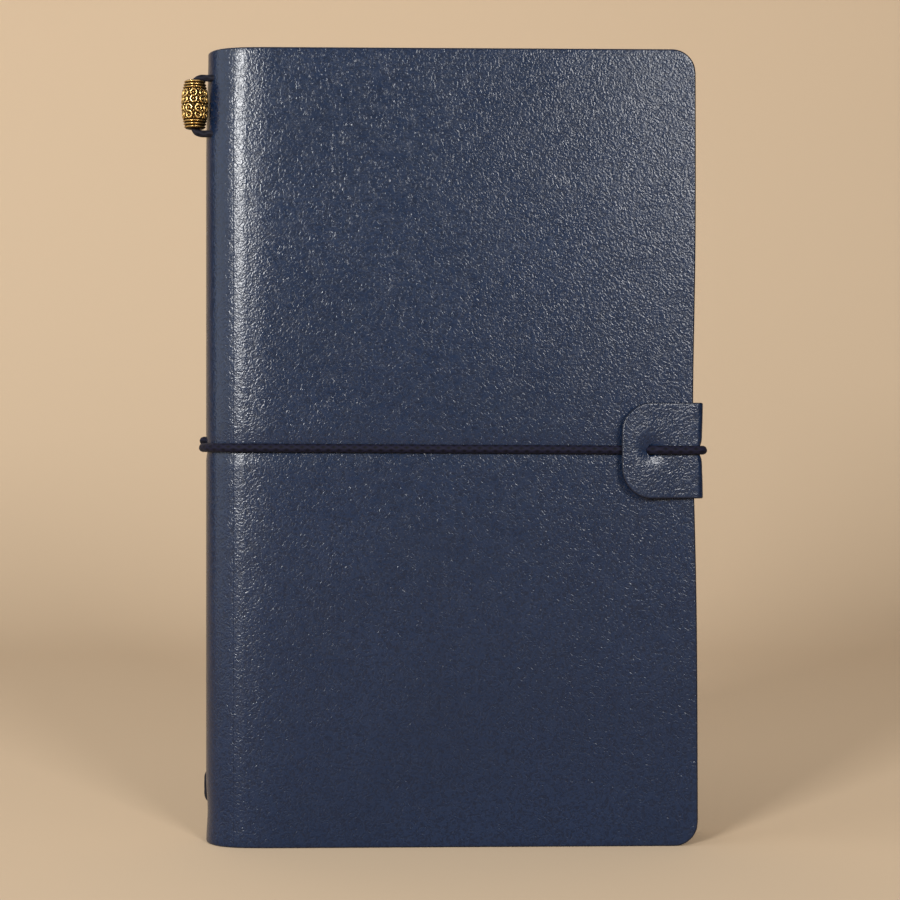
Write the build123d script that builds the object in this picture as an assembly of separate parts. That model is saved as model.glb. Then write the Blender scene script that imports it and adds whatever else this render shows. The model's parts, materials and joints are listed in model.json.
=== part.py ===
"""A refillable flight logbook: a leatherette cover bound and closed with round elastic.

It stands on its tail edge. X runs from the spine to the fore-edge, the front cover faces -Y and Z is up.
The origin is under the middle of the whole object. All sizes are in millimetres.
"""
import os
from math import radians, sqrt, tan

from build123d import *

# Cover
cover_height = 200.0
cover_width = 124.0
cover_thickness = 22.0
skin = 1.4
lining = 0.8
corner_radius = 6.0
hinge_gap = 0.1

# Booklets
booklet_count = 3
booklet_end_margin = 5.0
booklet_fore_margin = 2.25
booklet_gap = 0.3
card = 0.3
fold_gap = 0.1
folded_pages = 0.35
fold_ramp = 5.0
fold_wrap = 110.0
cover_play = 0.25
fold_setback = 4.5
page_corner = 4.0

# Staples
staple_wire = 0.5
staple_crown = 12.0
staple_bend = 0.4
staple_play = 0.02
staple_from_end = 45.0

# Binding cord
cord = 1.8
cord_play = 0.2
cord_bend = 1.6
head_hole_inset = 2.0
tail_hole_inset = 4.0
tail_run = 8.0
inner_run_setback = 6.0
cord_end_clearance = 1.1
head_turn_drop = 8.0
knot_size = 3.6
knot_round = 1.2
knot_from_fold = 3.5

# Bead
bead_length = 12.1
bead_radius = 3.4
bead_end_radius = 2.6
bead_bore_play = 0.4
bead_stand_off = 0.3
bead_slide = 0.1

# Closure
elastic = 2.0
elastic_play = 0.15
elastic_bend = 1.0
elastic_straight = 0.1
elastic_hole_wall = 0.4
elastic_inside = 2.0
elastic_sink = 0.5
strand_bend = 60.0
strand_run = 26.0
flap_bend = 4.0
fore_edge_bend = 1.6
tab_height = 24.0
tab_reach = 19.4
tab_leather = 1.2
tab_play = 0.15
tab_corner = 6.0
tab_hole_play = 0.45
tab_hole_from_end = 6.4
tab_lift = 2.2

# Worked out from the sizes above
wall = skin + lining
half = cover_thickness / 2
inner_half = half - wall
round_radius = half
fold_x = round_radius + fold_setback
pitch = (2 * inner_half - 2 * cover_play + booklet_gap) / booklet_count
leaf_side = (pitch - booklet_gap) / 2
folds_y = [(n - (booklet_count - 1) / 2) * pitch for n in range(booklet_count)]
booklet_height = cover_height - 2 * booklet_end_margin
booklet_low = booklet_end_margin
booklet_high = booklet_low + booklet_height
cord_channel = cord / 2 + cord_play
fold_side = cord_channel + folded_pages + card
leaf_length = cover_width - booklet_fore_margin - fold_x
inner_run_x = fold_x - inner_run_setback
bead_y = folds_y[0]
bead_x = round_radius - sqrt((round_radius + bead_radius + bead_stand_off) ** 2 - bead_y**2)
top_run_high = booklet_high - head_hole_inset
top_run_low = top_run_high - bead_length - cord - bead_slide
tail_run_low = booklet_low + tail_hole_inset
tail_run_high = tail_run_low + tail_run
tail_run_y = folds_y[-1]
tail_run_x = round_radius - sqrt((round_radius + cord / 2 + cord_play) ** 2 - tail_run_y**2)
elastic_height = cover_height / 2
elastic_off = half + elastic / 2 + elastic_play
elastic_spine_x = -(elastic / 2 + elastic_play)
elastic_edge_x = cover_width + tab_play + tab_leather + elastic / 2 - elastic_sink
elastic_wrap = elastic_off - elastic_bend - elastic_straight
second_strand_rise = elastic + 2 * elastic_play + elastic_hole_wall
tab_hole = elastic + 2 * tab_hole_play
tab_hole_x = cover_width - tab_reach + tab_hole_from_end
middle_x = (bead_x - bead_radius + elastic_edge_x + elastic / 2) / 2


def centred(shape):
    """The shape in the object's own frame, whose origin is under its middle."""
    return Pos(-middle_x, 0, 0) * shape


def save(name, *solids):
    """Writes one node from its solids."""
    placed = [centred(s) for s in solids]
    shape = placed[0] if len(placed) == 1 else Compound(children=placed)
    export_step(shape, f"parts/{name}.step")


def tube(line, diameter):
    """A round cord along a line."""
    start = Plane(line @ 0, z_dir=line % 0)
    return sweep(start * Circle(diameter / 2), path=line).solid()


def panel(low_y, high_y):
    """One flat layer of a cover board between two depths, with rounded fore-edge corners."""
    start = round_radius + hinge_gap
    length = cover_width - start
    face = Plane.XZ * Pos(start + length / 2, cover_height / 2) * Rectangle(length, cover_height)
    fore = face.vertices().group_by(Axis.X)[-1]
    face = fillet(fore, corner_radius)
    return Pos(0, high_y, 0) * extrude(face, high_y - low_y)


def spine_layer(outer, inner):
    """One layer of the half-round spine, without its holes."""
    ring = Pos(round_radius, 0) * (Circle(outer) - Circle(inner))
    left = Pos(round_radius - outer, 0) * Rectangle(2 * outer, 3 * outer)
    return extrude(ring & left, cover_height).solid()


def spine_holes():
    """Drills for the binding cord's four holes and the two strands of the closure elastic."""
    cord_drill = Cylinder(cord_channel, 2 * round_radius, rotation=(0, 90, 0))
    drills = [Pos(0, bead_y, z) * cord_drill for z in (top_run_low, top_run_high)]
    drills += [Pos(0, tail_run_y, z) * cord_drill for z in (tail_run_low, tail_run_high)]
    elastic_drill = Cylinder(elastic / 2 + elastic_play, 2 * round_radius, rotation=(0, 90, 0))
    drills += [Pos(0, 0, elastic_height + rise) * elastic_drill for rise in (0, second_strand_rise)]
    return drills


def build_cover():
    """The leatherette cover: a skin and a bonded lining, in front, spine and back."""
    for side, sign in (("front", -1), ("back", 1)):
        edges = sorted((sign * half, sign * (half - skin)))
        save(f"{side}_cover_skin", panel(*edges))
        edges = sorted((sign * (half - skin), sign * inner_half))
        save(f"{side}_cover_lining", panel(*edges))
    skin_layer = spine_layer(half, half - skin)
    lining_layer = spine_layer(half - skin, inner_half)
    for drill in spine_holes():
        skin_layer = skin_layer - drill
        lining_layer = lining_layer - drill
    save("spine_skin", skin_layer)
    save("spine_lining", lining_layer)


def fold_sector():
    """The part of the plane that the back half's fold wraps round, on the spine side of the fold."""
    reach = 2 * fold_side
    past = reach * tan(radians(fold_wrap - 90))
    return make_face(Polyline((0, 0), (0, reach), (-reach, reach), (-reach, -past), close=True))


def half_layer(low, high, fold_low, fold_high, wrapped):
    """One layer of half a booklet, on the back side of its fold.

    It lies this far from the fold's middle plane, and is pinched to the fold's own sizes beside the cord."""
    inner = [(fold_ramp, low), (0, fold_low)] if low > fold_gap else [(0, low)]
    outer = [(0, fold_high), (fold_ramp, high), (leaf_length, high), (leaf_length, low)]
    outline = make_face(Polyline(*inner, *outer, close=True)) - Circle(cord_channel)
    if wrapped:
        ring = Circle(fold_high) - Circle(max(fold_low, cord_channel))
        outline = outline + (ring & fold_sector())
    block = extrude(outline, booklet_height)
    fore = block.edges().filter_by(Axis.Y).group_by(Axis.X)[-1]
    return fillet(fore, page_corner).solid()


def on_fold(shape, y, sign):
    """A back half as it is, or turned into the front half, at a booklet's fold."""
    if sign < 0:
        shape = mirror(shape, about=Plane.XZ)
    return Pos(fold_x, y, booklet_low) * shape


def staple_heights():
    """The middle heights of a booklet's two staples, above its tail."""
    return (staple_from_end, booklet_height - staple_from_end)


def staple():
    """A wire staple at a fold: its crown outside the card, and two legs through to the middle page."""
    crown_x = -(fold_side + staple_play + staple_wire / 2)
    leg_x = -(cord_channel + staple_play)
    tip = staple_crown / 2
    corners = [(leg_x, 0, -tip), (crown_x, 0, -tip), (crown_x, 0, tip), (leg_x, 0, tip)]
    return tube(FilletPolyline(*corners, radius=staple_bend), staple_wire)


def leg_drills():
    """Drills for the legs of a booklet's staples."""
    drill = Cylinder(staple_wire / 2 + staple_play, 2 * fold_side, rotation=(0, 90, 0))
    places = [z + sign * staple_crown / 2 for z in staple_heights() for sign in (-1, 1)]
    return [Pos(-fold_side, 0, z) * drill for z in places]


def build_booklets():
    """Three stapled refill booklets, each half made of a card cover and its leaves.

    The folded backs of the leaves and of the card belong to the back half, which carries the staples."""
    card_low = leaf_side - card
    fold_card_low = fold_side - card
    for number, y in enumerate(folds_y, start=1):
        for side, sign in (("front", -1), ("back", 1)):
            leaves = half_layer(fold_gap, card_low, fold_gap, fold_card_low, sign > 0)
            sheet = half_layer(card_low, leaf_side, fold_card_low, fold_side, sign > 0)
            for drill in leg_drills():
                leaves = leaves - drill
                sheet = sheet - drill
            save(f"booklet_{number}_{side}_leaves", on_fold(leaves.solid(), y, sign))
            save(f"booklet_{number}_{side}_card", on_fold(sheet.solid(), y, sign))
        wires = [Pos(0, 0, z) * staple() for z in staple_heights()]
        save(f"booklet_{number}_staples", *[on_fold(wire, y, 1) for wire in wires])


def cord_route():
    """The binding cord's corners, from its first knot through all three booklets to its last."""
    low = booklet_low - cord / 2 - cord_end_clearance
    high = booklet_high + cord / 2 + cord_end_clearance
    x = inner_run_x
    first, second, third = folds_y
    turn = top_run_high - head_turn_drop
    end_x = fold_x - knot_from_fold
    return [
        (end_x, first, low),
        (fold_x, first, low),
        (fold_x, first, high),
        (x, first, high),
        (x, first, top_run_high),
        (bead_x, first, top_run_high),
        (bead_x, first, top_run_low),
        (x, first, top_run_low),
        (x, first, turn),
        (x, second, turn),
        (x, second, high),
        (fold_x, second, high),
        (fold_x, second, low),
        (x, second, low),
        (x, second, tail_run_high),
        (x, third, tail_run_high),
        (tail_run_x, third, tail_run_high),
        (tail_run_x, third, tail_run_low),
        (x, third, tail_run_low),
        (x, third, low),
        (fold_x, third, low),
        (fold_x, third, high),
        (end_x, third, high),
    ]


def knot(x, y, z):
    """A tight knot, as a rounded lump that the cord's end runs into."""
    return Pos(x, y, z) * fillet(Box(knot_size, knot_size, knot_size).edges(), knot_round)


def build_binding():
    """The binding cord, and a knot at each of its ends."""
    route = cord_route()
    line = FilletPolyline(*route, radius=cord_bend)
    save("binding_cord", tube(line, cord))
    first, last = route[0], route[-1]
    lump = knot_size / 2
    save("binding_knots", knot(first[0] - lump, *first[1:]), knot(last[0] - lump, *last[1:]))


def build_bead():
    """A barrel bead, bored for the cord."""
    top = bead_length / 2
    profile = Polyline((0, -top), (bead_end_radius, -top))
    barrel = ThreePointArc((bead_end_radius, -top), (bead_radius, 0), (bead_end_radius, top))
    close = Polyline((bead_end_radius, top), (0, top), (0, -top))
    section = make_face(Plane.XZ * (profile + barrel + close))
    solid = revolve(section, Axis.Z)
    solid = solid - Cylinder(cord / 2 + bead_bore_play, 2 * bead_length)
    height = (top_run_low + top_run_high) / 2
    save("charm_bead", Pos(bead_x, bead_y, height) * solid)


def flap_point(x, off):
    """A point at x on the front flap, this far outside the flap's inner face."""
    lift = tab_lift * (cover_width - x) / tab_reach
    return (x, -(half + tab_play + lift + off))


def tab_blank():
    """The tab folded round the fore-edge, with rounded ends, before its holes."""
    end_x = cover_width - tab_reach
    edge = cover_width + tab_play
    inner = [flap_point(end_x, 0), (edge, -half - tab_play)]
    outer = [(edge + tab_leather, -half - tab_play - tab_leather), flap_point(end_x, tab_leather)]
    back_inner = [(x, -y) for x, y in reversed(inner)]
    back_outer = [(x, -y) for x, y in reversed(outer)]
    outline = make_face(Polyline(*inner, *back_inner, *back_outer, *outer, close=True))
    blank = extrude(outline, tab_height)
    blank = Pos(0, 0, elastic_height - tab_height / 2) * blank
    width = tab_reach + tab_play + tab_leather
    reach = Plane.XZ * Pos(end_x + width / 2, elastic_height) * Rectangle(width, tab_height)
    ends = reach.vertices().group_by(Axis.X)[0]
    window = extrude(fillet(ends, tab_corner), 2 * cover_thickness, both=True)
    return (blank & window).solid()


def elastic_route():
    """The closure elastic's corners, from the knot round the front, the tab and the back to the knot."""
    z = elastic_height
    start = round_radius - inner_half + elastic_inside
    over = tab_leather + elastic / 2 + elastic_play
    front = [
        (start, 0, z),
        (elastic_spine_x, 0, z),
        (elastic_spine_x, -elastic_off, z),
        (tab_hole_x - elastic, -elastic_off, z),
        (*flap_point(tab_hole_x + elastic, over), z),
        (elastic_edge_x, -half - tab_play - over, z),
    ]
    back = [(x, -y, z) for x, y, z in reversed(front[3:])]
    rise = z + second_strand_rise
    bend_x = round_radius + elastic
    back += [
        (bend_x + strand_run, elastic_off, z),
        (bend_x, elastic_off, rise),
        (elastic_spine_x, elastic_off, rise),
        (elastic_spine_x, 0, rise),
        (start, 0, rise),
    ]
    return front + back


def build_closure():
    """The closure elastic with its knot, and the tab that it holds round the fore-edge."""
    route = elastic_route()
    around_tab = [flap_bend, flap_bend, fore_edge_bend, fore_edge_bend, flap_bend, flap_bend]
    strands = [strand_bend, elastic_bend]
    radii = [elastic_bend, elastic_wrap, *around_tab, *strands, elastic_wrap, elastic_bend]
    line = FilletPolyline(*route, radius=radii)
    save("closure_elastic", tube(line, elastic))
    channel = tube(line, elastic + 2 * elastic_play)
    drill = Cylinder(tab_hole / 2, 4 * cover_thickness, rotation=(90, 0, 0))
    tab = tab_blank() - Pos(tab_hole_x, 0, elastic_height) * drill - channel
    save("closure_tab", *tab.solids())
    x, _, z = route[0]
    save("closure_knot", knot(x + knot_size / 2, 0, z + second_strand_rise / 2))


os.makedirs("parts", exist_ok=True)
build_cover()
build_booklets()
build_binding()
build_bead()
build_closure()
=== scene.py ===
"""The looks of the flight logbook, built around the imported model. Everything is in metres."""
import json
import random
from math import cos, exp, floor, hypot, pi, radians, sin, sqrt

import bmesh
import bpy
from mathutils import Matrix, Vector


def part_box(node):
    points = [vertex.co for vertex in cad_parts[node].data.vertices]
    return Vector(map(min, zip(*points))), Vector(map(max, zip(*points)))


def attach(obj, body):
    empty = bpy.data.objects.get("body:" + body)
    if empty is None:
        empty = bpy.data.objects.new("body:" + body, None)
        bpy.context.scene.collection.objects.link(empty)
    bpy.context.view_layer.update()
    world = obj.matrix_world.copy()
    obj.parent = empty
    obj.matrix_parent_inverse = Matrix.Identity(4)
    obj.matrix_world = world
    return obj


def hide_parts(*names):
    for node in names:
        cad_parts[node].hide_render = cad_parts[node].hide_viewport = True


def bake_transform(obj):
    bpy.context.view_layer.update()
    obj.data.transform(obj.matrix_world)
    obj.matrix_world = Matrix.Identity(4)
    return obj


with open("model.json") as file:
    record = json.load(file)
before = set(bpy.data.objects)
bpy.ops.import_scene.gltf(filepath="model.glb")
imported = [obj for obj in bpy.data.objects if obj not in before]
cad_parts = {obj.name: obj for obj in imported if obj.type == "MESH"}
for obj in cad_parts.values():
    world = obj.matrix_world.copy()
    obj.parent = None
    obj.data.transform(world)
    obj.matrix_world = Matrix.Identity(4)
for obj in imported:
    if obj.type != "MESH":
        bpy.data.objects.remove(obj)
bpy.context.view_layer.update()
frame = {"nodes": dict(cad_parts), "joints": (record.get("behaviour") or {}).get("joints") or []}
MM = 0.001

# Places and sizes read from the frame
front_low, front_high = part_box("front_cover_skin")
spine_low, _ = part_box("spine_skin")
tab_low, tab_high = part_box("closure_tab")
bead_low, bead_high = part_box("charm_bead")
inner_low, inner_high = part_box("front_cover_lining")
cord_low, cord_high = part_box("binding_cord")
HALF = -front_low[1]
FORE_X = front_high[0]
SPINE_X = spine_low[0]
ROUND_X = SPINE_X + HALF
HEIGHT = front_high[2]
SKIN = front_high[1] - front_low[1]
LINING = inner_high[1] - inner_low[1]
BEND = HALF * pi / 2
BOARD_END = BEND + FORE_X - ROUND_X
ELASTIC_Z = (tab_low[2] + tab_high[2]) / 2

# Sizes that the frame doesn't hold
CORNER = 6 * MM
EDGE = 0.45 * MM
SPLIT = BEND - 3.5 * MM
ELASTIC_R = 1.12 * MM
CORD_R = 0.9 * MM
TAB_DROP = 0.75 * MM
SINK = 0.4 * MM
STRAND_RISE = 1.7 * MM
PAGE_CORNER = 4 * MM
TAB_LEATHER = 1.2 * MM
TAB_PLAY = 0.15 * MM
TAB_HOLE_FROM_END = 7.4 * MM
TAB_HOLE_R = 1.25 * MM
TAB_CORNER = 7.5 * MM
HOLE_X = tab_low[0] + TAB_HOLE_FROM_END
LINING_SET_BACK = 0.5 * MM
TAIL_RUN_HEIGHTS = (9 * MM, 17 * MM)
HEAD_RUN_HEIGHTS = (179 * MM, 193 * MM)
CROSSING_HEIGHT = 185 * MM
LEAVES = 12


# ---------------------------------------------------------------- node helpers

class Nodes:
    """A new material's node tree, with short ways to add what its surface needs."""

    def __init__(self, name):
        self.material = bpy.data.materials.new(name)
        self.material.use_nodes = True
        self.tree = self.material.node_tree
        self.shader = self.tree.nodes["Principled BSDF"]
        self.place = self.add("ShaderNodeTexCoord").outputs["Object"]

    def add(self, kind, **settings):
        """A new node of this kind, with its settings."""
        node = self.tree.nodes.new(kind)
        for key, value in settings.items():
            setattr(node, key, value)
        return node

    def put(self, socket, value):
        """Links an output to a socket, or sets the socket to a plain value."""
        if isinstance(value, bpy.types.NodeSocket):
            self.tree.links.new(value, socket)
        else:
            socket.default_value = value

    def stretched(self, scale, place=None):
        """The place, scaled by a number along each axis."""
        node = self.add("ShaderNodeMapping")
        self.put(node.inputs["Vector"], place or self.place)
        node.inputs["Scale"].default_value = scale
        return node.outputs["Vector"]

    def noise(self, size, detail=4.0, rough=0.55, place=None):
        """Cloudy noise whose features are about this size in metres."""
        node = self.add("ShaderNodeTexNoise")
        self.put(node.inputs["Vector"], place or self.place)
        node.inputs["Scale"].default_value = 1 / size
        node.inputs["Detail"].default_value = detail
        node.inputs["Roughness"].default_value = rough
        return node.outputs["Fac"]

    def cells(self, size, feature="DISTANCE_TO_EDGE", place=None, randomness=1.0):
        """Distance within irregular cells of about this size in metres."""
        node = self.add("ShaderNodeTexVoronoi", feature=feature)
        self.put(node.inputs["Vector"], place or self.place)
        node.inputs["Scale"].default_value = 1 / size
        node.inputs["Randomness"].default_value = randomness
        return node.outputs["Distance"]

    def attribute(self, name):
        """A number kept on the mesh, such as how near a vertex is to the rim."""
        return self.add("ShaderNodeAttribute", attribute_name=name).outputs["Fac"]

    def ramp(self, factor, low, high, to_low=0.0, to_high=1.0):
        """A factor between two limits, brought to another range."""
        node = self.add("ShaderNodeMapRange")
        self.put(node.inputs["Value"], factor)
        node.inputs["From Min"].default_value = low
        node.inputs["From Max"].default_value = high
        node.inputs["To Min"].default_value = to_low
        node.inputs["To Max"].default_value = to_high
        return node.outputs["Result"]

    def math(self, operation, first, second=0.0):
        """One sum on two values."""
        node = self.add("ShaderNodeMath", operation=operation)
        self.put(node.inputs[0], first)
        self.put(node.inputs[1], second)
        return node.outputs["Value"]

    def mix(self, factor, first, second):
        """A colour between two colours."""
        node = self.add("ShaderNodeMix", data_type="RGBA")
        self.put(node.inputs["Factor"], factor)
        for socket, value in ((node.inputs[6], first), (node.inputs[7], second)):
            self.put(socket, value if isinstance(value, bpy.types.NodeSocket) else (*value, 1.0))
        return node.outputs[2]

    def bump(self, height, distance, strength=1.0, after=None):
        """A normal bumped by a height, on top of another normal if one is given."""
        node = self.add("ShaderNodeBump")
        self.put(node.inputs["Height"], height)
        node.inputs["Distance"].default_value = distance
        node.inputs["Strength"].default_value = strength
        if after is not None:
            self.put(node.inputs["Normal"], after)
        return node.outputs["Normal"]

    def finish(self, **sockets):
        """Sets the shader's sockets and gives the material."""
        for name, value in sockets.items():
            self.put(self.shader.inputs[name.replace("_", " ")], value)
        return self.material


# ---------------------------------------------------------------- materials

def leather_material(name):
    """Navy leatherette: fine wormlike creases between small pebbles, with painted shade in their low parts,
    and a satin finish.
    """
    n = Nodes(name)
    wide = n.math("SINE", n.math("MULTIPLY", n.noise(1.9 * MM, detail=1.5), 30.0))
    fine = n.math("SINE", n.math("MULTIPLY", n.noise(1.2 * MM, detail=1.5), 26.0))
    pores = n.noise(0.35 * MM, detail=3.0)
    height = n.math("ADD", n.math("MULTIPLY", wide, 0.45), n.math("MULTIPLY", fine, 0.35))
    height = n.math("ADD", height, n.math("MULTIPLY", pores, 0.5))
    # deep is painted crease shade: the colour given to the grain's low parts
    deep = (0.0028, 0.0070, 0.0200)
    low = (0.0042, 0.0108, 0.0300)
    high = (0.0055, 0.0132, 0.0360)
    base = n.mix(n.ramp(n.noise(26 * MM, detail=3.0), 0.3, 0.7), low, high)
    # painted shade: the lower the grain, the more it takes the deep colour
    base = n.mix(n.ramp(height, -0.5, 0.6), deep, base)
    base = n.mix(n.ramp(n.attribute("rim"), 0.35, 1.0, 0.0, 0.75), base, (0.0035, 0.0045, 0.010))
    rough = n.ramp(n.noise(2.5 * MM, detail=5.0), 0.25, 0.75, 0.22, 0.29)
    normal = n.bump(n.noise(34 * MM, detail=2.0), 0.4 * MM, 0.6)
    normal = n.bump(height, 0.024 * MM, 1.0, after=normal)
    return n.finish(Base_Color=base, Roughness=rough, Normal=normal, Specular_IOR_Level=0.30)


def lining_material():
    """The cover's bonded lining: dark, short-napped microfibre."""
    n = Nodes("cover_lining")
    nap = n.noise(0.25 * MM, detail=5.0, rough=0.7)
    cloud = n.noise(14 * MM, detail=3.0)
    base = n.mix(n.ramp(cloud, 0.3, 0.7), (0.014, 0.017, 0.028), (0.024, 0.028, 0.044))
    base = n.mix(n.ramp(nap, 0.35, 0.7), base, (0.040, 0.045, 0.064))
    n.shader.inputs["Sheen Weight"].default_value = 0.5
    rough = n.ramp(nap, 0.2, 0.8, 0.82, 0.95)
    return n.finish(Base_Color=base, Roughness=rough, Normal=n.bump(nap, 0.12 * MM, 0.7))


def cord_material(name, dark, light):
    """Round elastic with a braided cover: painted shade darkens the gaps between the yarns, and the yarns'
    tops are painted lighter as if lit.
    """
    n = Nodes(name)
    braid = n.attribute("braid")
    fibre = n.noise(0.12 * MM, detail=4.0, rough=0.7)
    # painted light: dark is the painted shade of the gaps, light the yarns' painted lit colour
    base = n.mix(n.ramp(braid, 0.1, 0.95), dark, light)
    base = n.mix(n.ramp(fibre, 0.55, 0.85, 0.0, 0.4), base, tuple(2.0 * v for v in light))
    n.shader.inputs["Sheen Weight"].default_value = 0.02
    n.shader.inputs["Sheen Roughness"].default_value = 0.4
    rough = n.ramp(fibre, 0.2, 0.8, 0.60, 0.80)
    normal = n.bump(fibre, 0.03 * MM, 0.6)
    return n.finish(Base_Color=base, Roughness=rough, Normal=normal, Specular_IOR_Level=0.12)


def bronze_material():
    """Antiqued bronze: near-black in the recesses, polished gold on what stands proud, and a painted
    highlight of brighter gold on the highest relief.
    """
    n = Nodes("antique_bronze")
    relief = n.attribute("relief")
    mottle = n.noise(0.7 * MM, detail=6.0, rough=0.65)
    # relief with mottling: it sets both the real wear through the patina and the painted highlight
    wear_and_highlight = n.math("ADD", relief, n.math("MULTIPLY", n.math("SUBTRACT", mottle, 0.5), 0.35))
    mask = n.ramp(wear_and_highlight, 0.22, 0.62)
    base = n.mix(mask, (0.016, 0.009, 0.004), (0.40, 0.255, 0.085))
    # painted highlight: the highest relief is painted a brighter gold
    base = n.mix(n.ramp(wear_and_highlight, 0.8, 1.1, 0.0, 0.7), base, (0.78, 0.56, 0.23))
    n.shader.inputs["Metallic"].default_value = 1.0
    rough = n.ramp(mask, 0.0, 1.0, 0.62, 0.24)
    return n.finish(Base_Color=base, Roughness=rough, Normal=n.bump(mottle, 0.03 * MM, 0.6))


def paper_material():
    """Cream log paper, faintly ruled across, with three columns, and fibres on its edges."""
    n = Nodes("log_paper")
    fibre = n.noise(0.5 * MM, detail=5.0, rough=0.7)
    tone = n.noise(30 * MM, detail=2.0)
    split = n.add("ShaderNodeSeparateXYZ")
    n.put(split.inputs[0], n.place)
    rule = n.math("PINGPONG", split.outputs["Z"], 3.5 * MM)
    line = n.math("LESS_THAN", rule, 0.10 * MM)
    column = n.math("PINGPONG", split.outputs["X"], 13.5 * MM)
    line = n.math("MAXIMUM", line, n.math("LESS_THAN", column, 0.10 * MM))
    base = n.mix(n.ramp(tone, 0.3, 0.7), (0.76, 0.70, 0.57), (0.82, 0.77, 0.65))
    base = n.mix(n.ramp(fibre, 0.4, 0.75, 0.0, 0.35), base, (0.66, 0.59, 0.46))
    ruled = n.math("MULTIPLY", line, n.attribute("ruled"))
    base = n.mix(n.math("MULTIPLY", ruled, 0.55), base, (0.28, 0.36, 0.42))
    return n.finish(Base_Color=base, Roughness=0.86, Normal=n.bump(fibre, 0.03 * MM, 0.5))


def card_material():
    """Brown kraft card with flecks."""
    n = Nodes("kraft_card")
    fibre = n.noise(0.6 * MM, detail=6.0, rough=0.7, place=n.stretched((1.0, 1.0, 0.35)))
    fleck = n.ramp(n.cells(1.9 * MM, feature="F1"), 0.03, 0.10)
    base = n.mix(n.ramp(fibre, 0.3, 0.7), (0.33, 0.205, 0.110), (0.46, 0.305, 0.175))
    base = n.mix(fleck, (0.20, 0.115, 0.055), base)
    return n.finish(Base_Color=base, Roughness=0.82, Normal=n.bump(fibre, 0.05 * MM, 0.6))


def steel_material():
    """Drawn staple wire."""
    n = Nodes("staple_wire")
    draw = n.noise(0.15 * MM, detail=3.0, place=n.stretched((1.0, 1.0, 0.05)))
    n.shader.inputs["Metallic"].default_value = 1.0
    base = n.mix(draw, (0.48, 0.48, 0.49), (0.70, 0.70, 0.71))
    return n.finish(Base_Color=base, Roughness=n.ramp(draw, 0.2, 0.8, 0.28, 0.45))


# ---------------------------------------------------------------- mesh helpers

def make_object(name, vertices, faces, material, smooth=True, **attributes):
    """A mesh object from plain lists, with any float attributes given one value per vertex."""
    mesh = bpy.data.meshes.new(name)
    mesh.from_pydata([tuple(v) for v in vertices], [], faces)
    mesh.materials.append(material)
    for key, values in attributes.items():
        layer = mesh.attributes.new(key, "FLOAT", "POINT")
        layer.data.foreach_set("value", values)
    work = bmesh.new()
    work.from_mesh(mesh)
    bmesh.ops.recalc_face_normals(work, faces=work.faces)
    work.to_mesh(mesh)
    work.free()
    mesh.polygons.foreach_set("use_smooth", [smooth] * len(mesh.polygons))
    piece = bpy.data.objects.new(name, mesh)
    bpy.context.scene.collection.objects.link(piece)
    return piece


def spread(low, high, count, ends=0.0):
    """Numbers from low to high, closer together near both ends as ends goes to 1."""
    steps = [i / (count - 1) for i in range(count)]
    bunched = [(1 - cos(pi * t)) / 2 for t in steps]
    return [low + (high - low) * (t * (1 - ends) + e * ends) for t, e in zip(steps, bunched)]


def rim_steps(depth, edge, turns=5):
    """How far the rim is from the outline, and how deep, from the outer face round to the inner."""
    angles = [pi / 2 * i / turns for i in range(turns + 1)]
    top = [(edge * (1 - sin(a)), edge * (1 - cos(a))) for a in angles]
    return top + [(inset, depth - deep) for inset, deep in reversed(top)]


def plate(name, material, ends, heights, corners, depths, edge, place, counts=(80, 90)):
    """A closed plate of soft sheet: two faces and a rounded rim, laid on any surface by place.

    place gives a point for a distance along, a height and a depth. A corner radius of None leaves that
    end square and unrounded, for where the sheet runs on into the next piece."""
    (start, stop), (low, high), (depth_low, depth_high) = ends, heights, depths

    def outline(inset):
        """Rows of (along, height) over the plate, this far inside its outline."""
        first = start if corners[0] is None else start + inset
        last = stop if corners[1] is None else stop - inset
        rows = []
        for along in spread(first, last, counts[0], 0.8):
            cut = 0.0
            for corner, gap in ((corners[0], along - first), (corners[1], last - along)):
                radius = max((corner or 0) - inset, 0)
                if corner and gap < radius:
                    cut = max(cut, radius - sqrt(max(radius**2 - (radius - gap) ** 2, 0)))
            rows.append([(along, z) for z in spread(low + inset + cut, high - inset - cut, counts[1], 0.3)])
        return rows

    def border(rows):
        """The rows' outer places in order round the plate, as (row, place in row)."""
        wide, tall = len(rows) - 1, len(rows[0]) - 1
        around = [(i, 0) for i in range(wide)] + [(wide, j) for j in range(tall)]
        return around + [(i, tall) for i in range(wide, 0, -1)] + [(0, j) for j in range(tall, 0, -1)]

    vertices, rim, faces, rings = [], [], [], []
    steps = rim_steps(depth_high - depth_low, edge)
    across = counts[1]
    for number, (inset, deep) in enumerate(steps):
        rows = outline(inset)
        base = len(vertices)
        if number in (0, len(steps) - 1):
            for row in rows:
                vertices += [place(along, z, depth_low + deep) for along, z in row]
            count = len(vertices) - base
            edge_marks = [0.0] * count
            for i, j in border(rows):
                edge_marks[i * across + j] = 0.25
            rim += edge_marks
            faces += [
                (base + i * across + j, base + (i + 1) * across + j,
                 base + (i + 1) * across + j + 1, base + i * across + j + 1)
                for i in range(counts[0] - 1) for j in range(across - 1)
            ]
            rings.append([base + i * across + j for i, j in border(rows)])
        else:
            vertices += [place(*rows[i][j], depth_low + deep) for i, j in border(rows)]
            rim += [1.0] * (len(vertices) - base)
            rings.append(list(range(base, len(vertices))))
    for ring, following in zip(rings, rings[1:]):
        size = len(ring)
        faces += [
            (ring[i], ring[(i + 1) % size], following[(i + 1) % size], following[i])
            for i in range(size)
        ]
    return make_object(name, vertices, faces, material, rim=rim)


def arc(centre, radius, start, stop, count=16):
    """Points round part of a circle in a level plane, from one angle in degrees to another."""
    angles = [radians(start + (stop - start) * i / (count - 1)) for i in range(count)]
    return [Vector((centre[0] + radius * cos(a), centre[1] + radius * sin(a), centre[2])) for a in angles]


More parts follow.
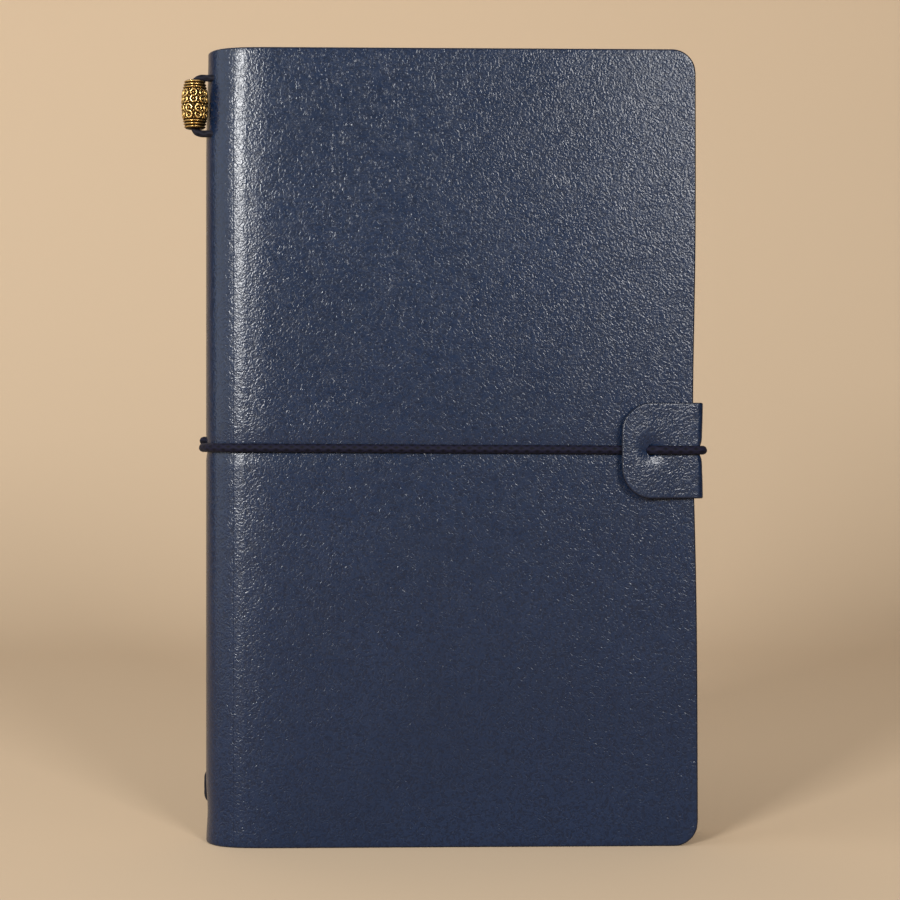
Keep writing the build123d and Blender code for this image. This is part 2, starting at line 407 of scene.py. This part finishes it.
def eased(points, reach):
    """A held cord's line, with each corner turned into a short bend that starts this far from it."""
    points = [Vector(p) for p in points]
    line = [points[0]]
    for before, corner, after in zip(points, points[1:], points[2:]):
        near = min(reach, (corner - before).length / 2.05, (after - corner).length / 2.05)
        first = corner + (before - corner).normalized() * near
        last = corner + (after - corner).normalized() * near
        for i in range(7):
            t = i / 6
            line.append(first * (1 - t) ** 2 + corner * 2 * t * (1 - t) + last * t**2)
    return line + [points[-1]]


def even(line, step):
    """The same line with its points this far apart."""
    result, left = [line[0]], step
    for first, last in zip(line, line[1:]):
        length = (last - first).length
        gone = left
        while gone <= length:
            result.append(first.lerp(last, gone / length))
            gone += step
        left = gone - length
    return result + [line[-1]]


def braided(name, line, radius, material, yarns=8, lay=2.6 * MM, step=0.28 * MM, relief=0.09):
    """A round cord with a braided cover, its crossing yarns standing a little proud."""
    points = even(line, step)
    sides = yarns * 4
    vertices, braid, faces = [], [], []
    normal = (points[1] - points[0]).orthogonal().normalized()
    travelled = 0.0
    for i, point in enumerate(points):
        ahead = points[min(i + 1, len(points) - 1)] - points[max(i - 1, 0)]
        forward = ahead.normalized()
        normal = (normal - forward * normal.dot(forward)).normalized()
        side = forward.cross(normal)
        if i:
            travelled += (point - points[i - 1]).length
        for j in range(sides):
            angle = 2 * pi * j / sides
            turn = 2 * pi * travelled / lay
            over = cos(yarns / 2 * angle + turn)
            under = cos(yarns / 2 * angle - turn)
            high = 0.5 + 0.5 * max(over, under)
            reach = radius * (1 - relief + relief * high)
            vertices.append(point + (normal * cos(angle) + side * sin(angle)) * reach)
            braid.append(high)
        if i:
            base = (i - 1) * sides
            faces += [
                (base + j, base + (j + 1) % sides, base + sides + (j + 1) % sides, base + sides + j)
                for j in range(sides)
            ]
    last = (len(points) - 1) * sides
    faces += [tuple(range(sides)), tuple(range(last, last + sides))]
    return make_object(name, vertices, faces, material, braid=braid)


# ---------------------------------------------------------------- the cover

def round_the_spine(along, depth):
    """A point of the cover's section and its outward direction, this far from the spine's middle."""
    sign = -1 if along >= 0 else 1
    distance = abs(along)
    if distance < BEND:
        angle = distance / HALF
        out = Vector((-cos(angle), sign * sin(angle), 0))
        return Vector((ROUND_X, 0, 0)) + out * (HALF - depth), out
    out = Vector((0, sign, 0))
    return Vector((ROUND_X + distance - BEND, sign * (HALF - depth), 0)), out


def board_place(along, z, depth):
    """A place on the cover, with the boards' slight swell and the waist that the elastic pulls in."""
    point, out = round_the_spine(along, depth)
    flat = min(max((abs(along) - BEND) / (BOARD_END - BEND), 0), 1)
    up = z / HEIGHT
    swell = 0.35 * MM * sin(pi * flat) * sin(pi * up)
    waist = -0.9 * MM * exp(-((z - ELASTIC_Z - 6 * MM) / (34 * MM)) ** 2)
    lean = 0.3 * MM * (1 - 2 * up)
    strands = (ELASTIC_Z - 0.1 * MM, ELASTIC_Z - 0.1 * MM + (STRAND_RISE if along < 0 else 0))
    press = max(exp(-(((z - strand) / (1.3 * MM)) ** 2)) for strand in strands)
    spine = max(1 - abs(along) / BEND, 0)
    head_dent = 0.6 * MM * exp(-((HEIGHT - z) / (14 * MM)) ** 2)
    tail_dent = 0.4 * MM * exp(-(((z - 8 * MM) / (5 * MM)) ** 2))
    ends = head_dent + tail_dent
    swell -= 0.45 * MM * exp(-(((abs(along) - BEND + 2.5 * MM) / (5 * MM)) ** 2))
    point += out * (swell - press * (SINK + 0.05 * MM) * (1 - 0.6 * flat) - ends * spine)
    point.x += (waist + lean - 0.2 * MM) * flat**3
    point.z = z
    return point


def cover_layer(layer, material, depths, edge, back_set, start, bends):
    """One layer of the cover in front, spine and back.

    The skin's boards keep their place in the world, unattached to any body; the lining's go with the covers
    and stop short of the hinges."""
    heights = (back_set, HEIGHT - back_set)
    for side, sign in (("front", 1), ("back", -1)):
        name = f"{side}_cover_{layer}"
        place = board_place if sign > 0 else lambda a, z, d: board_place(-a, z, d)
        piece = plate(f"{name}_soft", material, (start, BOARD_END - back_set), heights,
                      (None, CORNER - back_set), depths, edge, place, counts=(120, 110))
        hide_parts(name)
        if bends:
            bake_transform(piece)
        else:
            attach(piece, f"{side}_cover")
    piece = plate(f"spine_{layer}_soft", material, (-SPLIT, SPLIT), heights, (None, None), depths, edge,
                  board_place, counts=(60, 110))
    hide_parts(f"spine_{layer}")
    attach(piece, "spine")


def cover_pieces():
    """The cover's leather skin and the lining bonded inside it."""
    leather, lining = leather_material("navy_leather"), lining_material()
    cover_layer("skin", leather, (0, SKIN), EDGE, 0.0, SPLIT, True)
    cover_layer("lining", lining, (SKIN, SKIN + LINING), 0.2 * MM, 0.15 * MM,
                BEND + LINING_SET_BACK, False)


# ---------------------------------------------------------------- the closure

def flap_line():
    """The tab's line from the middle of the fore-edge to the end of one flap, as (x, out) points."""
    edge = FORE_X + TAB_PLAY
    lift = -tab_low[1] - HALF - TAB_PLAY - TAB_LEATHER
    outer = HALF + TAB_PLAY + TAB_LEATHER
    turn = 1.5 * MM
    points = [(edge + TAB_LEATHER, 0.0), (edge + TAB_LEATHER, outer - turn)]
    points += [
        (edge + TAB_LEATHER - turn + turn * cos(a), outer - turn + turn * sin(a))
        for a in [pi / 2 * i / 6 for i in range(1, 7)]
    ]
    steps = 14
    flat_x = edge + TAB_LEATHER - turn
    for i in range(1, steps + 1):
        t = i / steps
        raised = lift * (0.15 * t + 0.85 * t * t * (3 - 2 * t))
        points.append((flat_x + (tab_low[0] - flat_x) * t, outer + raised))
    return points


class Strip:
    """Distances along the tab's line, and the points and directions there."""

    def __init__(self, points):
        self.points = points
        self.marks = [0.0]
        for (x, y), (u, v) in zip(points, points[1:]):
            self.marks.append(self.marks[-1] + hypot(u - x, v - y))

    def at(self, distance):
        """(x, out, direction x, direction out) at a distance."""
        distance = min(max(distance, 0), self.marks[-1])
        i = max(k for k, mark in enumerate(self.marks[:-1]) if mark <= distance)
        (x, y), (u, v) = self.points[i], self.points[i + 1]
        t = (distance - self.marks[i]) / (self.marks[i + 1] - self.marks[i])
        length = hypot(u - x, v - y)
        return x + (u - x) * t, y + (v - y) * t, (u - x) / length, (v - y) / length


def tab_piece(leather):
    """The leather tab, folded round the fore-edge, with a punched hole in each flap."""
    strip = Strip(flap_line())
    length = strip.marks[-1]
    hole_along = length - TAB_HOLE_FROM_END

    def place(along, z, depth):
        """A place on the tab, with its dimples and the pinch that the elastic puts in its fold."""
        x, out, dx, dy = strip.at(abs(along))
        sign = -1 if along >= 0 else 1
        off = z - ELASTIC_Z + TAB_DROP
        dimple = 0.60 * MM * exp(-((hypot(abs(along) - hole_along, off) / (2.6 * MM)) ** 2))
        edge = exp(-((max(abs(along) - HALF, 0) / (2.5 * MM)) ** 2))
        sharp = 0.75 * MM * exp(-((off / (1.6 * MM)) ** 2))
        wide = 0.3 * MM * exp(-((off / (8 * MM)) ** 2))
        pinch = edge * (sharp + wide)
        deep = depth + dimple
        return Vector((x - dy * deep - pinch, sign * (out + dx * deep), z))

    heights = (tab_low[2] - TAB_DROP, tab_high[2] - TAB_DROP)
    piece = plate("closure_tab_leather", leather, (-length, length), heights,
                  (TAB_CORNER, TAB_CORNER), (0, TAB_LEATHER), 0.4 * MM, place, counts=(150, 60))
    punch(piece, (HOLE_X, 0, ELASTIC_Z - TAB_DROP), TAB_HOLE_R)
    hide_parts("closure_tab")
    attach(piece, "closure")


def punch(piece, centre, radius):
    """Punches a round hole through a piece, from front to back."""
    cutter = bpy.data.objects.new("punch", bpy.data.meshes.new("punch"))
    work = bmesh.new()
    bmesh.ops.create_cone(work, cap_ends=True, segments=40, radius1=radius, radius2=radius, depth=0.1)
    work.to_mesh(cutter.data)
    work.free()
    cutter.rotation_euler = (pi / 2, 0, 0)
    cutter.location = centre
    bpy.context.scene.collection.objects.link(cutter)
    cut = piece.modifiers.new("punch", "BOOLEAN")
    cut.object, cut.operation, cut.solver = cutter, "DIFFERENCE", "EXACT"
    seen = piece.evaluated_get(bpy.context.evaluated_depsgraph_get())
    piece.data = bpy.data.meshes.new_from_object(seen)
    piece.modifiers.clear()
    bpy.data.objects.remove(cutter)


def elastic_line():
    """The closure elastic's line, from its knot round the front, through the tab and round the back."""
    z = ELASTIC_Z
    off = HALF + ELASTIC_R - SINK
    strip = Strip(flap_line())
    length = strip.marks[-1]
    over = []
    for share in (0.985, 0.9, 0.8, 0.7, 0.6, 0.5):
        x, out, _, _ = strip.at((length - TAB_HOLE_FROM_END - 1.2 * MM) * share)
        over.append((x, -(out + 0.75 * ELASTIC_R)))
    under = HOLE_X - 1.3 * MM
    corner_x, _, _, _ = strip.at(0)
    front = [Vector((SPINE_X + 4 * MM, -0.5 * MM, z)), Vector((SPINE_X - ELASTIC_R + SINK, -0.6 * MM, z))]
    front += arc((ROUND_X, 0, z), off, 186, 270)
    front += [Vector((under, -off - 0.15 * MM, z))]
    front += [Vector((x, y, z)) for x, y in over]
    edge_x = corner_x - 0.15 * MM
    front += [Vector((edge_x, -HALF - 0.2 * MM, z)), Vector((edge_x, 0, z))]
    for point in front:
        point.z -= 0.65 * MM * min(max((point.x - SPINE_X) / (FORE_X - SPINE_X), 0), 1)
    back = [Vector((p.x, -p.y, p.z)) for p in reversed(front[2:-1])]
    for point in back:
        nearness = min(max((ROUND_X + 12 * MM - point.x) / (14 * MM), 0), 1)
        point.z += STRAND_RISE * nearness
    end_z = z + STRAND_RISE
    back += [
        Vector((SPINE_X - ELASTIC_R + SINK, 0.6 * MM, end_z)),
        Vector((SPINE_X + 4 * MM, 0.5 * MM, end_z)),
    ]
    return eased(front + back, 1.1 * MM)


def knot_line(centre, size):
    """The line of a trefoil knot of this size, round a centre."""
    line = []
    for i in range(97):
        t = 2 * pi * i / 96
        local = Vector((sin(t) + 2 * sin(2 * t), cos(t) - 2 * cos(2 * t), -sin(3 * t) * 1.3))
        line.append(Vector(centre) + local * (size / 7.5))
    return line


def knot_piece(name, node, centres, radius, material, body):
    """The knots of one node, each a small tight trefoil of the cord."""
    size = 3.6 * MM
    pieces = [
        braided(f"{name}_{i}", knot_line(centre, size), radius, material, step=0.3 * MM)
        for i, centre in enumerate(centres)
    ]
    for piece in pieces:
        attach(piece, body)
    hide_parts(node)


def closure_pieces():
    """The closure elastic, its knot inside the spine, and the tab."""
    # the first colour is painted shade for the braid's gaps, the second the yarns' painted lit colour
    elastic = cord_material("closure_elastic", (0.0008, 0.0008, 0.0025), (0.0045, 0.0045, 0.0140))
    loop = braided("closure_elastic_braid", elastic_line(), ELASTIC_R, elastic)
    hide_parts("closure_elastic")
    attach(loop, "closure")
    low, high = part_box("closure_knot")
    centre = [(a + b) / 2 for a, b in zip(low, high)]
    knot_piece("closure_knot_cord", "closure_knot", [centre], 0.8 * MM, elastic, "spine")
    tab_piece(leather_material("tab_leather"))


# ---------------------------------------------------------------- the binding and the bead

def binding_pieces():
    """The binding cord, from knot to knot through the three booklets and the runs outside the spine."""
    # the first colour is painted shade for the braid's gaps, the second the yarns' painted lit colour
    material = cord_material("binding_cord", (0.0012, 0.0012, 0.0025), (0.0070, 0.0070, 0.0130))
    low, high = cord_low[2] + CORD_R, cord_high[2] - CORD_R
    folds = fold_places()
    fold_x = folds[0][0]
    inner = fold_x - 6 * MM
    end_x = fold_x - 3.5 * MM
    first, second, third = (y for _, y in folds)
    bead_x = (bead_low[0] + bead_high[0]) / 2
    tail_x = ROUND_X - sqrt((HALF + CORD_R + 0.7 * MM) ** 2 - third**2)
    head, tail = HEAD_RUN_HEIGHTS, TAIL_RUN_HEIGHTS
    corners = [
        (end_x, first, low), (fold_x, first, low), (fold_x, first, high), (inner, first, high),
        (inner, first, head[1]), (bead_x, first, head[1]), (bead_x, first, head[0]),
        (inner, first, head[0]), (inner, first, CROSSING_HEIGHT), (inner, second, CROSSING_HEIGHT),
        (inner, second, high), (fold_x, second, high), (fold_x, second, low), (inner, second, low),
        (inner, second, tail[1]), (inner, third, tail[1]), (tail_x, third, tail[1]),
        (tail_x, third, tail[0]), (inner, third, tail[0]), (inner, third, low),
        (fold_x, third, low), (fold_x, third, high), (end_x, third, high),
    ]
    cord = braided("binding_cord_braid", eased(corners, 2.2 * MM), CORD_R, material)
    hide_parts("binding_cord")
    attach(cord, "spine")
    centres = [(end_x - 1.8 * MM, first, low), (end_x - 1.8 * MM, third, high)]
    knot_piece("binding_knot", "binding_knots", centres, 0.7 * MM, material, "spine")


def scroll_points():
    """An S of two open loops, one above the other, as points in metres about its middle."""
    loop, points = 0.80 * MM, []
    for i in range(25):
        angle = radians(-25 + 295 * i / 24)
        points.append((loop * cos(angle), loop + loop * sin(angle)))
    return points + [(-x, -y) for x, y in points]


SCROLL = scroll_points()
PELLETS = (
    (0, 0.80 * MM), (0, -0.80 * MM), (1.3 * MM, 0), (-1.3 * MM, 0),
    (1.25 * MM, 1.6 * MM), (-1.25 * MM, -1.6 * MM),
)


def bead_relief(turn, height):
    """How proud the bead stands at a share of a turn and a height from -1 to 1, from 0 to 1."""
    plain_part, tiles, wide, tall = 0.64, 8, 2.6 * MM, 3.8 * MM
    rings = abs(height)
    if rings > plain_part:
        return 0.5 - 0.5 * cos((rings - plain_part) / (1 - plain_part) * 3 * 2 * pi)
    tile = height / plain_part + 1
    row = int(min(tile, 1.999))
    v = (tile - row - 0.5) * tall
    u = turn * tiles + 0.5 * row
    u = (u - floor(u) - 0.5) * wide
    if row:
        u = -u
    scroll = exp(-((min(hypot(u - x, v - y) for x, y in SCROLL) / (0.27 * MM)) ** 4))
    pellet = max(exp(-((hypot(u - x, v - y) / (0.26 * MM)) ** 4)) for x, y in PELLETS)
    return max(scroll, 0.8 * pellet)


def bead_piece():
    """The cast barrel bead: three rings at each end and two rows of scrolls between them."""
    centre = Vector([(a + b) / 2 for a, b in zip(bead_low, bead_high)]) + Vector((0.2 * MM, 0, 0.3 * MM))
    half_height = (bead_high[2] - bead_low[2]) / 2
    radius = (bead_high[0] - bead_low[0]) / 2
    around, up = 260, 200
    proud = 0.36 * MM
    vertices, relief, faces = [], [], []
    bore = 1.3 * MM
    for j in range(up):
        height = -1 + 2 * j / (up - 1)
        body = radius - 0.8 * MM * height**2
        for i in range(around):
            turn = i / around
            stand = bead_relief(turn, height)
            reach = body - proud + proud * stand
            angle = 2 * pi * turn
            vertices.append(centre + Vector((reach * cos(angle), reach * sin(angle), half_height * height)))
            relief.append(stand)
    for j in range(up - 1):
        faces += [
            (j * around + i, j * around + (i + 1) % around,
             (j + 1) * around + (i + 1) % around, (j + 1) * around + i)
            for i in range(around)
        ]
    rings = [list(range(around)), [(up - 1) * around + i for i in range(around)]]
    inner = []
    for sign in (-1, 1):
        base = len(vertices)
        for i in range(around):
            angle = 2 * pi * i / around
            vertices.append(centre + Vector((bore * cos(angle), bore * sin(angle), sign * half_height)))
            relief.append(0.15)
        inner.append(list(range(base, base + around)))
    for outer, hole in zip(rings, inner):
        faces += [
            (outer[i], outer[(i + 1) % around], hole[(i + 1) % around], hole[i])
            for i in range(around)
        ]
    faces += [
        (inner[0][i], inner[0][(i + 1) % around], inner[1][(i + 1) % around], inner[1][i])
        for i in range(around)
    ]
    bead = make_object("charm_bead_cast", vertices, faces, bronze_material(), relief=relief)
    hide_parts("charm_bead")
    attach(bead, "bead")


# ---------------------------------------------------------------- the booklets

def fold_places():
    """Where each booklet's fold is, as (x, y)."""
    places = []
    for joint in sorted(frame["joints"], key=lambda j: j["name"]):
        if joint["name"].startswith("booklet") and joint["name"].endswith("back_turn"):
            places.append(tuple(joint["pos_m"][:2]))
    return places


def sheet_line(fold, sign, level, pinch, reach):
    """The middle line of one leaf, from the fold out to its fore-edge, as (x, y) points."""
    x, y = fold
    line = []
    corner = PAGE_CORNER / reach
    marks = [i / 13 * (1 - corner) for i in range(14)]
    marks += [1 - corner * (1 - sin(pi / 12 * i)) for i in range(1, 7)]
    for t in marks:
        lifted = min(t * reach / (14 * MM), 1)
        smooth = lifted * lifted * (3 - 2 * lifted)
        line.append((x + reach * t, y + sign * (pinch + (level - pinch) * smooth)))
    return line


def leaf(vertices, faces, line, sign, thickness, low, high, corner, ruled):
    """Adds one leaf to lists of vertices and faces: a thin closed sheet with rounded corners."""
    rows = 26
    base = len(vertices)
    end = line[-1][0]
    for side in (-0.5, 0.5):
        for x, y in line:
            gap = end - x
            cut = corner - sqrt(max(corner**2 - (corner - gap) ** 2, 0)) if gap < corner else 0
            for z in spread(low + cut, high - cut, rows):
                vertices.append(Vector((x, y + sign * side * thickness, z)))
                ruled.append(1.0)
    wide, face_size = len(line), len(line) * rows
    for layer in (0, 1):
        start = base + layer * face_size
        faces += [
            (start + i * rows + j, start + (i + 1) * rows + j,
             start + (i + 1) * rows + j + 1, start + i * rows + j + 1)
            for i in range(wide - 1) for j in range(rows - 1)
        ]
    around = [(i, 0) for i in range(wide - 1)] + [(wide - 1, j) for j in range(rows - 1)]
    around += [(i, rows - 1) for i in range(wide - 1, 0, -1)] + [(0, j) for j in range(rows - 1, 0, -1)]
    ring = [base + i * rows + j for i, j in around]
    faces += [
        (ring[k], ring[(k + 1) % len(ring)], ring[(k + 1) % len(ring)] + face_size, ring[k] + face_size)
        for k in range(len(ring))
    ]


def booklet_pieces():
    """The leaves and card covers of the three booklets, each leaf a sheet of its own."""
    draw = random.Random(7)
    paper, card, steel = paper_material(), card_material(), steel_material()
    folds = fold_places()
    for number, fold in enumerate(folds, start=1):
        for side, sign in (("front", -1), ("back", 1)):
            node = f"booklet_{number}_{side}_leaves"
            low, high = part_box(node)
            _, card_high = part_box(f"booklet_{number}_{side}_card")
            far = max(abs(low[1] - fold[1]), abs(high[1] - fold[1]))
            reach = high[0] - fold[0]
            near, bottom, top = 0.1 * MM, low[2], high[2]
            step = (far - near) / LEAVES
            vertices, faces, ruled = [], [], []
            for i in range(LEAVES):
                level = near + step * (i + 0.5)
                pinch = 1.12 * MM + 0.32 * MM * (i + 0.5) / LEAVES
                trim = draw.uniform(0, 0.25) * MM
                line = sheet_line(fold, sign, level, pinch, reach - trim)
                leaf(vertices, faces, line, sign, step * 0.72, bottom + draw.uniform(0, 0.15) * MM,
                     top - draw.uniform(0, 0.15) * MM, PAGE_CORNER, ruled)
            leaves = make_object(f"{node}_sheets", vertices, faces, paper, smooth=False, ruled=ruled)
            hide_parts(node)
            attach(leaves, f"booklet_{number}_{side}")
            vertices, faces, ruled = [], [], []
            thick = 0.28 * MM
            line = sheet_line(fold, sign, far + 0.15 * MM, 1.5 * MM, card_high[0] - fold[0])
            leaf(vertices, faces, line, sign, thick, bottom, top, PAGE_CORNER, ruled)
            cover = make_object(f"booklet_{number}_{side}_card_sheet", vertices, faces, card, smooth=False)
            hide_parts(f"booklet_{number}_{side}_card")
            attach(cover, f"booklet_{number}_{side}")
        staples = frame["nodes"][f"booklet_{number}_staples"]
        staples.data.materials.clear()
        staples.data.materials.append(steel)


# ---------------------------------------------------------------- the studio

def studio_material():
    """The warm seamless ground, lifted a little so that it reads as evenly lit."""
    n = Nodes("studio_paper")
    soft = n.noise(0.4, detail=2.0)
    base = n.mix(soft, (0.480, 0.368, 0.254), (0.490, 0.375, 0.259))
    n.shader.inputs["Emission Color"].default_value = (0.595, 0.456, 0.315, 1.0)
    n.shader.inputs["Emission Strength"].default_value = 0.08
    return n.finish(Base_Color=base, Roughness=0.95, Specular_IOR_Level=0.1)


def studio():
    """A seamless ground that curves up behind the object."""
    depth, rise, turn = 0.9, 1.6, 0.45
    section = [(-2.2, 0.0), (depth - turn, 0.0)]
    angles = [pi / 2 * i / 16 for i in range(1, 17)]
    section += [(depth - turn + turn * sin(a), turn - turn * cos(a)) for a in angles]
    section += [(depth, rise)]
    vertices = [(x, y, z) for y, z in section for x in (-3, 3)]
    faces = [(2 * i, 2 * i + 1, 2 * i + 3, 2 * i + 2) for i in range(len(section) - 1)]
    ground = make_object("studio_ground", vertices, faces, studio_material())


def area_light(name, place, target, size, power, colour):
    """A rectangular soft light at a place, facing a target."""
    lamp = bpy.data.lights.new(name, "AREA")
    lamp.shape, lamp.size, lamp.size_y = "RECTANGLE", *size
    lamp.energy, lamp.color = power, colour
    holder = bpy.data.objects.new(name, lamp)
    holder.location = place
    holder.rotation_euler = (Vector(target) - Vector(place)).to_track_quat("-Z", "Y").to_euler()
    bpy.context.scene.collection.objects.link(holder)


def lights():
    """Two soft lights in front, a dim card at the left, one overhead, a weak one behind, and a surround."""
    middle = (0, 0, HEIGHT / 2)
    area_light("key_right", (0.56, -1.44, 0.58), middle, (0.30, 0.40), 16.5, (1.0, 0.99, 0.98))
    area_light("strip_left", (-0.74, -1.38, 0.50), middle, (0.30, 0.40), 29.0, (1.0, 1.0, 0.99))
    area_light("card_left", (-1.1, -0.35, 0.35), middle, (1.0, 1.2), 8.0, (0.97, 0.99, 1.0))
    area_light("overhead", (0.0, -0.1, 1.5), (0, 0.1, 0), (1.6, 1.4), 7.0, (1.0, 0.98, 0.96))
    area_light("back_fill", (-0.35, 0.75, 0.85), middle, (0.7, 0.6), 1.0, (1.0, 0.99, 0.97))
    world = bpy.data.worlds.new("studio")
    world.use_nodes = True
    background = world.node_tree.nodes["Background"]
    background.inputs["Color"].default_value = (1.0, 0.98, 0.96, 1.0)
    background.inputs["Strength"].default_value = 0.05
    bpy.context.scene.world = world


def camera():
    """A long lens level with the middle of the book, a little to the spine side."""
    away, turn = 0.49, radians(1.6)
    cover_middle = (SPINE_X + FORE_X) / 2
    target = Vector((cover_middle - 0.2 * MM, -HALF, 99.4 * MM))
    lens = bpy.data.cameras.new("camera")
    lens.sensor_width = 36
    lens.lens = 36 * away * (4.0 / MM) / 900
    holder = bpy.data.objects.new("camera", lens)
    holder.location = target + Vector((-away * sin(turn), -away * cos(turn), 0))
    holder.rotation_euler = (pi / 2, 0, -turn)
    bpy.context.scene.collection.objects.link(holder)
    bpy.context.scene.camera = holder


camera()
bpy.context.scene.view_settings.view_transform = "Standard"
lights()
studio()
cover_pieces()
closure_pieces()
binding_pieces()
bead_piece()
booklet_pieces()
